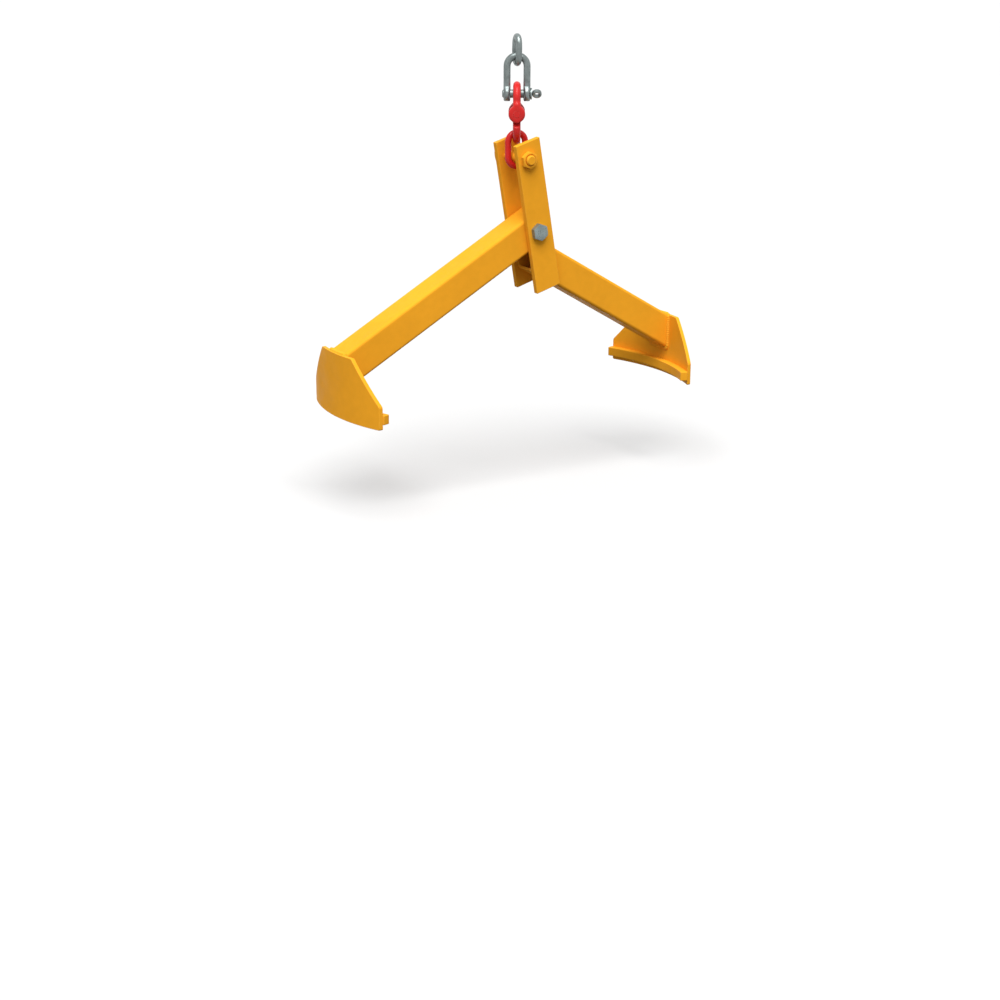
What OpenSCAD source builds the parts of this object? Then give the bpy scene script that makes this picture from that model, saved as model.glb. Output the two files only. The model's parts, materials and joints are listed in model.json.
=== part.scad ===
// Self-gripping drum lifter: two box-section arms in a scissor, hung from a chain coupling.
// A pull on the top bolt swings the head about the pivot bolt and closes the shoes on the rim.
// Millimetres, +Z up, +X along the arms towards the fixed arm, +Y along the pivot bolt.
// The origin is the point inside the top link where a crane hook bears.

/* [Top link] */
// Bar diameter of the top chain link
top_link_bar = 10; // [8:0.5:11]
// Clear length inside the top chain link
top_link_inside = 30; // [27:1:40]
// Clear width inside the top chain link
top_link_gap = 16; // [15:0.5:20]
// Turn of the hanging hardware about the vertical, seen from above
hardware_turn = -31; // [-31:1:-20]
// Turn of the top link past square to the shackle
top_link_turn = 12; // [0:1:12]

/* [Shackle] */
// Bar diameter of the shackle bow
bow_bar = 11; // [9:0.5:12]
// Clear width between the shackle ears
bow_gap = 20; // [18:0.5:24]
// Clear length from the crown of the bow to the pin
bow_inside = 45.5; // [41:0.5:60]
// Diameter of the shackle's screw pin
screw_pin_d = 13; // [11:0.5:14]
// Diameter of the ears around the screw pin
ear_d = 23; // [20:0.5:26]
// Diameter of the collar under the pin's eye
pin_collar_d = 18; // [16:0.5:22]
// Thickness of the collar under the pin's eye
pin_collar_t = 2.5; // [2:0.5:5]
// Diameter of the pin's flat eye
pin_eye_d = 15; // [14:0.5:22]
// Thickness of the pin's flat eye
pin_eye_t = 7; // [5:0.5:9]
// Hole in the pin's flat eye
pin_eye_hole_d = 6; // [4:0.5:8]
// Roll of the pin's flat eye about the pin, where the thread pulled up tight
pin_eye_roll = 35; // [0:1:90]
// Length of pin standing out of the threaded ear
pin_stand_out = 2; // [1:0.5:6]

/* [Coupling] */
// Bar diameter of the coupling halves
coupling_bar = 12; // [10:0.5:13]
// Clear length inside the closed coupling
coupling_inside = 72; // [68:1:90]
// Clear width inside the coupling loops
coupling_gap = 30; // [28:0.5:34]
// Diameter of the hinge eyes
coupling_eye_d = 26; // [22:1:28]
// Thickness of each hinge eye
coupling_eye_t = 8.5; // [6:0.5:9]
// Diameter of the load pin through the hinge eyes
load_pin_d = 11; // [9:0.5:13]
// Diameter of the bush that locks the load pin
bush_d = 18; // [15:0.5:20]

/* [Hoist link] */
// Bar diameter of the short link inside the head
hoist_bar = 10; // [8:0.5:12]
// Clear length inside the short link
hoist_inside = 42; // [36:0.5:50]
// Clear width inside the short link
hoist_gap = 18.5; // [18:0.5:24]
// Turn of the short link on the top bolt, seen from above
hoist_turn = -9; // [-12:1:-8]

/* [Head] */
// Width of the cheek plates
cheek_w = 44; // [40:1:55]
// Distance of the bolt holes from the cheeks' edge on the swing arm's side
hole_inset = 18; // [16:0.5:22]
// Thickness of the cheek plates
cheek_t = 10; // [8:1:14]
// Lean of the cheeks towards the swing arm
cheek_lean = 10; // [5:0.5:15]
// Distance from the pivot bolt up to the top bolt
bolt_span = 115.5; // [100:0.5:140]
// Length of cheek above the top bolt
cheek_over = 27; // [18:0.5:30]
// Length of cheek below the pivot bolt
cheek_under = 96; // [80:1:105]
// Slant of the cheeks' sawn ends off square
cheek_slant = 7; // [0:0.5:12]

/* [Bolts] */
// Thread diameter of both bolts
bolt_d = 16; // [12:1:17]
// Width across flats of the bolt heads and nuts
bolt_flats = 24; // [21:0.5:27]
// Height of the bolt heads
bolt_head_h = 9; // [7:0.5:13]
// Height of the thin nuts
nut_h = 8; // [6:0.5:14]
// Outer diameter of the bolts' washers
washer_d = 30; // [28:1:38]
// Thickness of the bolts' washers
washer_t = 3; // [2:0.5:5]
// Length of thread standing out of the nuts
thread_stand_out = 3; // [1:0.5:8]

/* [Arms] */
// Width and depth of the square box section
tube_w = 50; // [40:1:55]
// Wall of the box section
tube_wall = 4; // [2.5:0.5:6]
// Outside corner radius of the box section
tube_corner_r = 5; // [4:0.5:8]
// Depth from the pivot bolt to the top face of the fixed arm
fixed_arm_drop = 7.5; // [4:0.5:12]
// Distance of the fixed arm's end inside the cheeks' edge
fixed_arm_inset = 6; // [0:0.5:10]
// Length of swing arm past the pivot bolt
swing_arm_tail = 22; // [18:1:24]
// Angle by which the swing arm closes before it meets the fixed arm
closing_angle = 6; // [3:0.5:10]
// Angle by which the swing arm opens before it meets the fixed arm
opening_angle = 20; // [15:0.5:20]
// Outer diameter of the sleeve welded through the swing arm
sleeve_d = 24; // [22:0.5:30]

/* [Drum] */
// Distance of the pivot bolt from the drum's axis
pivot_offset = 36; // [25:0.5:50]
// Height of the pivot bolt above the rim
pivot_height = 231; // [200:0.5:260]
// Height above the rim at which the arms meet the shoes
arm_land = 39; // [36:0.5:44]

/* [Shoes] */
// Inside radius of the curved shoe plates
shoe_r = 303; // [290:1:312]
// Thickness of the shoe plates
shoe_t = 6; // [4:0.5:12]
// Height of the shoe's level top above the rim
shoe_top = 68; // [66:1:85]
// Width of the shoe's level top
shoe_top_w = 100; // [90:1:130]
// Width of the shoe at its ends
shoe_w = 220; // [190:1:250]
// Height above the rim at which the sloping shoulders start
shoe_shoulder = 3; // [0:0.5:20]
// Depth of the shoe below the rim
shoe_under = 33; // [28:1:45]

/* [Jaws] */
// Radial width of the jaw bar that hooks under the rim
jaw_w = 12; // [11:0.5:18]
// Height of the jaw bar
jaw_h = 15; // [10:0.5:19]
// Depth from the rim down to the jaw bar's top
jaw_drop = 10; // [8:0.5:12]
// Length of jaw bar past each end of the shoe
jaw_past = 4; // [3:0.5:15]

/* [Fits] */
// Running gap between hanging links
run_gap = 0.4; // [0.3:0.05:0.6]
// Gap between the swing arm and the cheeks, each side
side_gap = 0.5; // [0.4:0.05:1]
// Radial clearance of a shaft that turns in its bore
shaft_gap = 0.08; // [0.05:0.01:0.1]
// Radial clearance of a bolt in its hole
hole_gap = 0.25; // [0.1:0.05:0.5]
// Fit-up gap of welded pieces
weld_gap = 0.1; // [0.05:0.05:0.3]

/* [Hidden] */
$fn = 64;

yellow = [0.90, 0.62, 0.14];
red = [0.78, 0.16, 0.16];
galvanised = [0.55, 0.58, 0.58];
zinc = [0.62, 0.66, 0.68];
steel = [0.45, 0.45, 0.46];

// Overshoot of cutting tools past the faces they cut
over = 1;

// Heights of the hanging hardware, worked out downwards from the hook's seat
bow_crown_z = -top_link_inside + run_gap;
screw_pin_z = bow_crown_z - bow_inside - screw_pin_d / 2;
coupling_top_z = screw_pin_z + screw_pin_d / 2 + run_gap;
coupling_hub_z = coupling_top_z - coupling_inside / 2;
hoist_top_z = coupling_top_z - coupling_inside + run_gap;
top_bolt_z = hoist_top_z - hoist_inside + run_gap + bolt_d / 2;

// The head hangs from the top bolt, and the drum's axis and rim follow from the pivot bolt
pivot_x = bolt_span * sin(cheek_lean);
pivot_z = top_bolt_z - bolt_span * cos(cheek_lean);
drum_x = pivot_x - pivot_offset;
rim_z = pivot_z - pivot_height;

// Middle of each leg of the coupling, out from its axis
coupling_leg_y = (coupling_gap + coupling_bar) / 2;

// Half widths of the head, out from its middle plane
cheek_inner_y = tube_w / 2 + side_gap;
cheek_outer_y = cheek_inner_y + cheek_t;

// Slopes that land both arms on the shoes at the same height
swing_slope = atan((pivot_height - arm_land) / (shoe_r + pivot_offset));
fixed_axis_drop = fixed_arm_drop + tube_w / 2;
fixed_run = shoe_r - pivot_offset;
fixed_rise = pivot_height - arm_land;
fixed_slope = atan(fixed_rise / fixed_run) - asin(fixed_axis_drop / norm([fixed_run, fixed_rise]));

// A length that reaches past the shoes from anywhere in the head
reach = 2 * shoe_r;

module at_drum() {
    translate([drum_x, 0, rim_z]) children();
}

module at_pivot() {
    translate([pivot_x, 0, pivot_z]) children();
}

// The head's own frame: origin on the pivot bolt, +Z along the leaning cheeks
module in_head() {
    at_pivot() rotate([0, -cheek_lean, 0]) children();
}

// A cylinder along Y between two places
module y_rod(d, y0, y1) {
    translate([0, y0, 0]) rotate([-90, 0, 0]) cylinder(d = d, h = y1 - y0);
}

// A hexagon along Y between two places, with corners up and down
module y_hex(flats, y0, y1) {
    translate([0, y0, 0]) rotate([-90, 30, 0]) cylinder(d = flats / cos(30), h = y1 - y0, $fn = 6);
}

// A half ring of round bar in the XZ plane, over the centre of its curve
module half_ring(gap, bar) {
    rotate([90, 0, 0]) rotate_extrude(angle = 180) translate([(gap + bar) / 2, 0]) circle(d = bar);
}

// A round-bar link in the XZ plane, hung so that the top of its opening is at the origin
module chain_link(inside, gap, bar) {
    straight = inside - gap;
    translate([0, 0, -gap / 2]) half_ring(gap, bar);
    for (side = [-1, 1])
        translate([side * (gap + bar) / 2, 0, -gap / 2 - straight]) cylinder(d = bar, h = straight);
    translate([0, 0, -gap / 2 - straight]) mirror([0, 0, 1]) half_ring(gap, bar);
}

module top_link() {
    color(galvanised) rotate([0, 0, hardware_turn + 90 + top_link_turn])
        chain_link(top_link_inside, top_link_gap, top_link_bar);
}

// The shackle's frame: origin on the screw pin, bow in the XZ plane, pin along X
module in_shackle() {
    rotate([0, 0, hardware_turn]) translate([0, 0, screw_pin_z]) children();
}

// A cylinder along X between two places
module x_rod(d, x0, x1) {
    translate([x0, 0, 0]) rotate([0, 90, 0]) cylinder(d = d, h = x1 - x0);
}

module shackle_bow() {
    arch_z = bow_crown_z - bow_gap / 2 - screw_pin_z;
    color(galvanised) in_shackle() difference() {
        union() {
            translate([0, 0, arch_z]) half_ring(bow_gap, bow_bar);
            for (side = [-1, 1])
                translate([side * (bow_gap + bow_bar) / 2, 0, 0]) cylinder(d = bow_bar, h = arch_z);
            x_rod(ear_d, bow_gap / 2, bow_gap / 2 + bow_bar);
            x_rod(ear_d, -bow_gap / 2 - bow_bar, -bow_gap / 2);
        }
        x_rod(screw_pin_d + 2 * shaft_gap, -bow_gap / 2 - bow_bar - over, bow_gap / 2 + bow_bar + over);
    }
}

module shackle_pin() {
    ear_x = bow_gap / 2 + bow_bar;
    eye_x = ear_x + pin_collar_t + pin_eye_d / 2;
    color(galvanised) in_shackle() {
        x_rod(screw_pin_d, -ear_x - pin_stand_out, ear_x);
        x_rod(pin_collar_d, ear_x, ear_x + pin_collar_t);
        rotate([pin_eye_roll, 0, 0]) difference() {
            intersection() {
                union() {
                    translate([eye_x, 0, 0]) y_rod(pin_eye_d, -pin_eye_t / 2, pin_eye_t / 2);
                    translate([ear_x, -pin_eye_t / 2, -screw_pin_d / 2])
                        cube([pin_collar_t + pin_eye_d / 2, pin_eye_t, screw_pin_d]);
                }
                translate([ear_x + pin_collar_t / 2, -pin_eye_d, -pin_eye_d])
                    cube([2 * pin_eye_d, 2 * pin_eye_d, 2 * pin_eye_d]);
            }
            translate([eye_x, 0, 0]) y_rod(pin_eye_hole_d, -pin_eye_t, pin_eye_t);
        }
    }
}

// The coupling's frame: origin on the load pin, loops in the YZ plane, load pin along Y
module in_coupling() {
    rotate([0, 0, hardware_turn]) translate([0, 0, coupling_hub_z]) children();
}

// One half of the coupling, drawn as the upper one, with its eyes between y0 and y1 on each leg.
// Each leg stops clear of the other half's eyes, and only its side in line with its own eye runs on.
module coupling_half(y0, y1) {
    arch_z = coupling_inside / 2 - coupling_gap / 2;
    leg_z = coupling_eye_d / 2 + run_gap;
    difference() {
        union() {
            translate([0, 0, arch_z]) rotate([0, 0, 90]) half_ring(coupling_gap, coupling_bar);
            for (side = [0, 1]) mirror([0, side, 0]) {
                translate([0, coupling_leg_y, leg_z]) cylinder(d = coupling_bar, h = arch_z - leg_z);
                y_rod(coupling_eye_d, y0, y1);
                intersection() {
                    translate([0, coupling_leg_y, 0]) cylinder(d = coupling_bar, h = leg_z);
                    translate([-coupling_bar, y0, 0]) cube([2 * coupling_bar, y1 - y0, leg_z]);
                }
            }
        }
        y_rod(load_pin_d + 2 * shaft_gap, -y1 - over, y1 + over);
    }
}

module coupling_upper_half() {
    inner = coupling_leg_y + run_gap / 2;
    color(red) in_coupling() coupling_half(inner, inner + coupling_eye_t);
}

module coupling_lower_half() {
    outer = coupling_leg_y - run_gap / 2;
    color(red) in_coupling() mirror([0, 0, 1]) coupling_half(outer - coupling_eye_t, outer);
}

module coupling_load_pin() {
    end_y = coupling_leg_y + run_gap / 2 + coupling_eye_t;
    color(red) in_coupling() y_rod(load_pin_d, -end_y, end_y);
}

module coupling_bush() {
    end_y = coupling_leg_y - run_gap / 2 - coupling_eye_t - run_gap;
    color(steel) in_coupling() difference() {
        y_rod(bush_d, -end_y, end_y);
        y_rod(load_pin_d + 2 * shaft_gap, -end_y - over, end_y + over);
    }
}

module hoist_link() {
    color(red) translate([0, 0, hoist_top_z]) rotate([0, 0, hoist_turn])
        chain_link(hoist_inside, hoist_gap, hoist_bar);
}

// Outline of a cheek as seen along Y, with both ends sawn on a slant
module cheek_outline() {
    near_x = -hole_inset;
    far_x = cheek_w - hole_inset;
    top = bolt_span + cheek_over;
    slope = tan(cheek_slant);
    polygon([
        [near_x, near_x * slope - cheek_under], [far_x, far_x * slope - cheek_under],
        [far_x, far_x * slope + top], [near_x, near_x * slope + top]
    ]);
}

// A cheek plate with its near face at y0, drilled for both bolts
module cheek(y0) {
    in_head() difference() {
        translate([0, y0 + cheek_t, 0]) rotate([90, 0, 0]) linear_extrude(cheek_t) cheek_outline();
        for (z = [0, bolt_span])
            translate([0, 0, z]) y_rod(bolt_d + 2 * hole_gap, y0 - over, y0 + cheek_t + over);
    }
}

module front_cheek() {
    color(yellow) cheek(-cheek_outer_y);
}

module rear_cheek() {
    color(yellow) cheek(cheek_inner_y);
}

// A hexagon bolt through both cheeks at a height up the head, with what lies under its head and nut
module head_bolt(z, under_head, under_nut) {
    seat_y = -cheek_outer_y - under_head;
    in_head() translate([0, 0, z]) {
        y_hex(bolt_flats, seat_y - bolt_head_h, seat_y);
        y_rod(bolt_d, seat_y - over, cheek_outer_y + under_nut + nut_h + thread_stand_out);
    }
}

// A washer on the rear cheek
module head_washer(z) {
    in_head() translate([0, 0, z]) difference() {
        y_rod(washer_d, cheek_outer_y, cheek_outer_y + washer_t);
        y_rod(bolt_d + 2 * hole_gap, cheek_outer_y - over, cheek_outer_y + washer_t + over);
    }
}

module head_nut(z, under_nut) {
    seat_y = cheek_outer_y + under_nut;
    in_head() translate([0, 0, z]) difference() {
        y_hex(bolt_flats, seat_y, seat_y + nut_h);
        y_rod(bolt_d + 2 * weld_gap, seat_y - over, seat_y + nut_h + over);
    }
}

// The top bolt was put in from the rear, so its nut is on the front cheek
module top_bolt() {
    color(yellow) mirror([0, 1, 0]) head_bolt(bolt_span, washer_t, 0);
}

module top_washer() {
    color(yellow) head_washer(bolt_span);
}

module top_nut() {
    color(yellow) mirror([0, 1, 0]) head_nut(bolt_span, 0);
}

module pivot_bolt() {
    color(zinc) head_bolt(0, 0, washer_t);
}

module pivot_washer() {
    color(zinc) head_washer(0);
}

module pivot_nut() {
    color(zinc) head_nut(0, washer_t);
}

// A square outline with round corners, centred on the origin
module round_square(w, r) {
    square([w - 2 * r, w], center = true);
    square([w, w - 2 * r], center = true);
    for (x = [-1, 1], y = [-1, 1])
        translate([x * (w / 2 - r), y * (w / 2 - r)]) circle(r = r);
}

// Box section along X between two places, centred on the axis
module box_tube(x0, x1) {
    inner_r = tube_corner_r - tube_wall / 2;
    translate([x0, 0, 0]) rotate([90, 0, 90]) linear_extrude(x1 - x0) difference() {
        round_square(tube_w, tube_corner_r);
        round_square(tube_w - 2 * tube_wall, inner_r);
    }
}

// Everything inside the curve that the arm ends are cut to
module inside_shoes() {
    at_drum() translate([0, 0, -reach / 2]) cylinder(r = shoe_r - weld_gap, h = reach, $fn = 180);
}

// The swing arm's frame, closed by an angle: origin on the pivot bolt, +X up the arm towards its tail
module in_swing_arm(closed) {
    at_pivot() rotate([0, -swing_slope - closed, 0]) children();
}

// What the fixed arm's end is cut back by: the swing arm at both stops, and the cheeks' edge
module fixed_arm_trim() {
    for (turn = [closing_angle, -opening_angle])
        in_swing_arm(turn)
            translate([-reach, -tube_w, -tube_w / 2 - run_gap]) cube([2 * reach, 2 * tube_w, reach]);
    in_head() translate([fixed_arm_inset - hole_inset - reach, -tube_w, -reach / 2])
        cube([reach, 2 * tube_w, reach]);
}

module fixed_arm_tube() {
    color(yellow) difference() {
        intersection() {
            at_pivot() rotate([0, fixed_slope, 0])
                translate([0, 0, -fixed_axis_drop]) box_tube(-tube_w, reach);
            inside_shoes();
        }
        fixed_arm_trim();
    }
}

module swing_arm_tube() {
    color(yellow) difference() {
        intersection() {
            in_swing_arm(0) box_tube(-reach, swing_arm_tail);
            inside_shoes();
        }
        at_pivot() y_rod(sleeve_d + 2 * weld_gap, -tube_w, tube_w);
    }
}

module pivot_sleeve() {
    end_y = tube_w / 2 + side_gap / 4;
    color(steel) at_pivot() difference() {
        y_rod(sleeve_d, -end_y, end_y);
        y_rod(bolt_d + 2 * shaft_gap, -end_y - over, end_y + over);
    }
}

// Outline of a shoe as seen along X, with heights measured from the rim
module shoe_outline() {
    polygon([
        [-shoe_w / 2, -shoe_under], [shoe_w / 2, -shoe_under], [shoe_w / 2, shoe_shoulder],
        [shoe_top_w / 2, shoe_top], [-shoe_top_w / 2, shoe_top], [-shoe_w / 2, shoe_shoulder]
    ]);
}

// A curved shoe plate on the +X side of the drum's axis
module shoe() {
    intersection() {
        translate([0, 0, -shoe_under]) difference() {
            cylinder(r = shoe_r + shoe_t, h = shoe_under + shoe_top, $fn = 180);
            translate([0, 0, -over])
                cylinder(r = shoe_r, h = shoe_under + shoe_top + 2 * over, $fn = 180);
        }
        rotate([90, 0, 90]) linear_extrude(reach) shoe_outline();
    }
}

// The curved bar under the rim, on the +X side of the drum's axis
module jaw() {
    half_angle = asin(shoe_w / 2 / (shoe_r + shoe_t)) + jaw_past / shoe_r * 180 / PI;
    outer_r = shoe_r - weld_gap;
    rotate([0, 0, -half_angle]) rotate_extrude(angle = 2 * half_angle, $fn = 180)
        translate([outer_r - jaw_w, -jaw_drop - jaw_h]) square([jaw_w, jaw_h]);
}

module fixed_shoe() {
    color(yellow) at_drum() shoe();
}

module fixed_jaw() {
    color(yellow) at_drum() jaw();
}

module swing_shoe() {
    color(yellow) at_drum() rotate([0, 0, 180]) shoe();
}

module swing_jaw() {
    color(yellow) at_drum() rotate([0, 0, 180]) jaw();
}

top_link();
shackle_bow();
shackle_pin();
coupling_upper_half();
coupling_lower_half();
coupling_load_pin();
coupling_bush();
hoist_link();
front_cheek();
rear_cheek();
top_bolt();
top_washer();
top_nut();
pivot_bolt();
pivot_washer();
pivot_nut();
fixed_arm_tube();
fixed_shoe();
fixed_jaw();
swing_arm_tube();
pivot_sleeve();
swing_shoe();
swing_jaw();
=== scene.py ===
# %% [markdown]
# # A self-gripping lifter, from bare steel to paint
# The lifter is a welded pair of box-section arms that close like scissors when a crane pulls on
# the chain parts above them. This lesson dresses the finished construction: it loads every part
# in its real place and size, and models each one again with the rounded edges, forged swells,
# weld beads and paint that a drawing leaves out.

# %% Load the frame
import json
from math import asin, atan2, cos, exp, hypot, pi, radians, sin, sqrt, tan

import bmesh
import bpy
from mathutils import Euler, Matrix, Vector


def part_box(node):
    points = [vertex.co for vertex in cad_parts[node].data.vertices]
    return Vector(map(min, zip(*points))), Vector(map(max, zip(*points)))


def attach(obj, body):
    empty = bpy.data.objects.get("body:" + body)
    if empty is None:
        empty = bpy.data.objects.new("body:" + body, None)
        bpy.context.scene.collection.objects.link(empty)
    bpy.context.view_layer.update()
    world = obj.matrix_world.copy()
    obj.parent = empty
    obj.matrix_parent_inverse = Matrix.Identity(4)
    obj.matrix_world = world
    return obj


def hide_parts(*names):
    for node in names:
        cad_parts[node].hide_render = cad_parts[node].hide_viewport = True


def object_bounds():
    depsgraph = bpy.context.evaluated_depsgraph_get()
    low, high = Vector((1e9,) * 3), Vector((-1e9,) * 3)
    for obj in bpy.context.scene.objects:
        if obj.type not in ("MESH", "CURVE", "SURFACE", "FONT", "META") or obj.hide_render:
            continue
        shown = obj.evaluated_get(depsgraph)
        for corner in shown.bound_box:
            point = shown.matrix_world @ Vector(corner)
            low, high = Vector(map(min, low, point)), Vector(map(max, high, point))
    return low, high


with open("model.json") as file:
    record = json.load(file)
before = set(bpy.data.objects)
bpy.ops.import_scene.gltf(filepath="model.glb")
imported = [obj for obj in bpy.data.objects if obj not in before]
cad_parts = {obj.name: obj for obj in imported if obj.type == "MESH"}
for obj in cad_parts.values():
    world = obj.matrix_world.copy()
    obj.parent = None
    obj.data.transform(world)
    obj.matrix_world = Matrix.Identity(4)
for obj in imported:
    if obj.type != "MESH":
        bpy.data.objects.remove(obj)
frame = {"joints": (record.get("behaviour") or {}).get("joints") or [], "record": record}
cad_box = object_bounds()
scene = bpy.context.scene
mm = 0.001

# %% [markdown]
# ## Camera
# The camera stands to the left of the arms' plane, a little higher than the top link, and looks
# down. Its place, angles and lens were fitted to a photograph of the real object. A camera could
# also be aimed with a Track To constraint, but plain angles keep the small roll of a hand-held
# shot.

# %% Camera
camera_place = Vector((-1.5361, -2.5308, 0.1923))
camera_turn = radians(-30.80)
camera_pitch = 0.3066
camera_roll = 0.0043
lens_length = 67.21
sensor_width = 36
farthest_seen = 200

camera_data = bpy.data.cameras.new("workshop_camera")
camera_data.lens = lens_length
camera_data.sensor_width = sensor_width
camera_data.clip_end = farthest_seen
camera = bpy.data.objects.new("workshop_camera", camera_data)
scene.collection.objects.link(camera)
level_aim = Euler((pi / 2 - camera_pitch, 0, camera_turn)).to_matrix()
aim = level_aim @ Matrix.Rotation(camera_roll, 3, "Z")
camera.matrix_world = Matrix.Translation(camera_place) @ aim.to_4x4()
scene.camera = camera
print("camera at", [round(c, 3) for c in camera_place])

# %% [markdown]
# ## Light and floor
# The light is that of a plain studio: a pale sky all round, and a very broad lamp overhead, a
# little in front and to the left, so that level faces are the brightest and upright ones still
# show their true colour. The lifter hangs, so the floor lies low enough that no arm reaches it
# when the head swings. To the camera and in mirror reflections it is a light grey, which this
# light turns just white, and a soft shadow still shows on it. To bounced light it is dark,
# because a bright floor would light the undersides, which stay dark on the real object.

# %% Light and floor
scene.view_settings.view_transform = "Standard"


def light_path_mask(tree):
    """A value of 1 for rays from the camera, a mirror or clear glass, and 0 for the rest."""
    path = tree.nodes.new("ShaderNodeLightPath")
    mask = path.outputs["Is Camera Ray"]
    for ray in ("Is Glossy Ray", "Is Transmission Ray"):
        larger = tree.nodes.new("ShaderNodeMath")
        larger.operation = "MAXIMUM"
        tree.links.new(mask, larger.inputs[0])
        tree.links.new(path.outputs[ray], larger.inputs[1])
        mask = larger.outputs[0]
    return mask


def light_the_sky(fill):
    world = bpy.data.worlds.new("pale_sky")
    world.use_nodes = True
    tree = world.node_tree
    strength = tree.nodes.new("ShaderNodeMapRange")
    strength.inputs["To Min"].default_value = fill
    strength.inputs["To Max"].default_value = 1.0
    tree.links.new(light_path_mask(tree), strength.inputs["Value"])
    sky = tree.nodes["Background"]
    sky.inputs["Color"].default_value = (1, 1, 1, 1)
    tree.links.new(strength.outputs["Result"], sky.inputs["Strength"])
    scene.world = world


def hang_the_sun(direction, strength, spread):
    lamp = bpy.data.lights.new("soft_sun", "SUN")
    lamp.energy = strength
    lamp.angle = spread
    sun = bpy.data.objects.new("soft_sun", lamp)
    sun.rotation_euler = Vector(direction).to_track_quat("Z", "Y").to_euler()
    scene.collection.objects.link(sun)


def lay_the_floor(height, half_size, seen, bounce):
    material = bpy.data.materials.new("studio_floor")
    material.use_nodes = True
    tree = material.node_tree
    shade = tree.nodes["Principled BSDF"]
    shade.inputs["Roughness"].default_value = 0.9
    shade.inputs["Specular IOR Level"].default_value = 0.1
    tone = tree.nodes.new("ShaderNodeMix")
    tone.data_type = "RGBA"
    tone.inputs["A"].default_value = (bounce, bounce, bounce, 1)
    tone.inputs["B"].default_value = (seen, seen, seen, 1)
    tree.links.new(light_path_mask(tree), tone.inputs["Factor"])
    tree.links.new(tone.outputs["Result"], shade.inputs["Base Color"])
    bm = bmesh.new()
    bmesh.ops.create_grid(bm, x_segments=1, y_segments=1, size=half_size)
    bmesh.ops.translate(bm, vec=(0, 0, height), verts=bm.verts)
    mesh = bpy.data.meshes.new("studio_floor")
    bm.to_mesh(mesh)
    bm.free()
    mesh.materials.append(material)
    floor = bpy.data.objects.new("studio_floor", mesh)
    scene.collection.objects.link(floor)


floor_gap = 150 * mm
light_the_sky(fill=0.6)
hang_the_sun(direction=(-0.295, -0.455, 1.0), strength=3.85, spread=radians(50))
lay_the_floor(height=cad_box[0].z - floor_gap, half_size=60.0, seen=0.62, bounce=0.10)
print("floor at", round(cad_box[0].z - floor_gap, 4))

# %% [markdown]
# ## Finishes as node groups
# Two effects are shared by several finishes. A paint film is never one flat colour: it is thicker
# in places, a little dull in others, and dries with the fine dimples that painters call orange
# peel. Its sharp edges are painted paler, which stands for thinner paint there and is also a
# painted highlight. A zinc skin freezes as crystals of many greys. Each effect is a node group that
# is built once. It reads Object coordinates, so a pattern stays on its piece when the piece moves.

# %% Node group helpers
def new_group(name, inputs, outputs):
    """An empty shader node group with named sockets. An input is (name, kind, value)."""
    tree = bpy.data.node_groups.new(name, "ShaderNodeTree")
    for label, kind, value in inputs:
        kind = "NodeSocket" + kind
        socket = tree.interface.new_socket(label, in_out="INPUT", socket_type=kind)
        socket.default_value = value
    for label, kind in outputs:
        kind = "NodeSocket" + kind
        tree.interface.new_socket(label, in_out="OUTPUT", socket_type=kind)
    return tree, tree.nodes.new("NodeGroupInput"), tree.nodes.new("NodeGroupOutput")


def add_noise(tree, scale, detail=3.0):
    """A noise value in Object coordinates, with features about 1 / scale metres across."""
    where = tree.nodes.new("ShaderNodeTexCoord").outputs["Object"]
    noise = tree.nodes.new("ShaderNodeTexNoise")
    noise.inputs["Scale"].default_value = scale
    noise.inputs["Detail"].default_value = detail
    tree.links.new(where, noise.inputs["Vector"])
    return noise.outputs["Fac"]


def remap(tree, value, given_range, wanted_range):
    """Stretch one range of a value to another, and clamp it there."""
    node = tree.nodes.new("ShaderNodeMapRange")
    labels = ("From Min", "From Max", "To Min", "To Max")
    for label, number in zip(labels, given_range + wanted_range):
        node.inputs[label].default_value = number
    tree.links.new(value, node.inputs["Value"])
    return node.outputs["Result"]


def combine(tree, operation, first, second):
    node = tree.nodes.new("ShaderNodeMath")
    node.operation = operation
    tree.links.new(first, node.inputs[0])
    tree.links.new(second, node.inputs[1])
    return node.outputs[0]


def shade_colour(tree, colour, brightness):
    """A colour multiplied by a brightness value."""
    node = tree.nodes.new("ShaderNodeVectorMath")
    node.operation = "SCALE"
    tree.links.new(colour, node.inputs[0])
    tree.links.new(brightness, node.inputs["Scale"])
    return node.outputs[0]


def mix_colour(tree, mask, first, second):
    node = tree.nodes.new("ShaderNodeMix")
    node.data_type = "RGBA"
    for label, source in (("Factor", mask), ("A", first), ("B", second)):
        tree.links.new(source, node.inputs[label])
    return node.outputs["Result"]


print("node helpers ready")

# %% Paint film
mid_noise = (0.3, 0.7)
patch_scale, patch_tone = 9.0, (0.95, 1.04)
speckle_scale, speckle_tone = 85.0, (0.97, 1.02)
# Sharp edges are painted paler, broken up by noise: thinner paint, and also a painted highlight on
# every edge
edge_width, edge_facing = 1.6 * mm, (0.995, 0.90)
highlight_break_scale, highlight_break_noise, highlight_break_cover = 140.0, (0.35, 0.65), (0.25, 0.8)
dull_scale, dull_roughness = 34.0, (0.36, 0.52)
peel_scale, run_scale = 420.0, 40.0


def edge_mask(tree):
    """A value of 1 on sharp edges, where a rounded normal turns away from the true one."""
    rounded = tree.nodes.new("ShaderNodeBevel")
    rounded.samples = 4
    rounded.inputs["Radius"].default_value = edge_width
    flat = tree.nodes.new("ShaderNodeNewGeometry")
    facing = tree.nodes.new("ShaderNodeVectorMath")
    facing.operation = "DOT_PRODUCT"
    tree.links.new(rounded.outputs["Normal"], facing.inputs[0])
    tree.links.new(flat.outputs["Normal"], facing.inputs[1])
    return remap(tree, facing.outputs["Value"], edge_facing, (0.0, 1.0))


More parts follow.
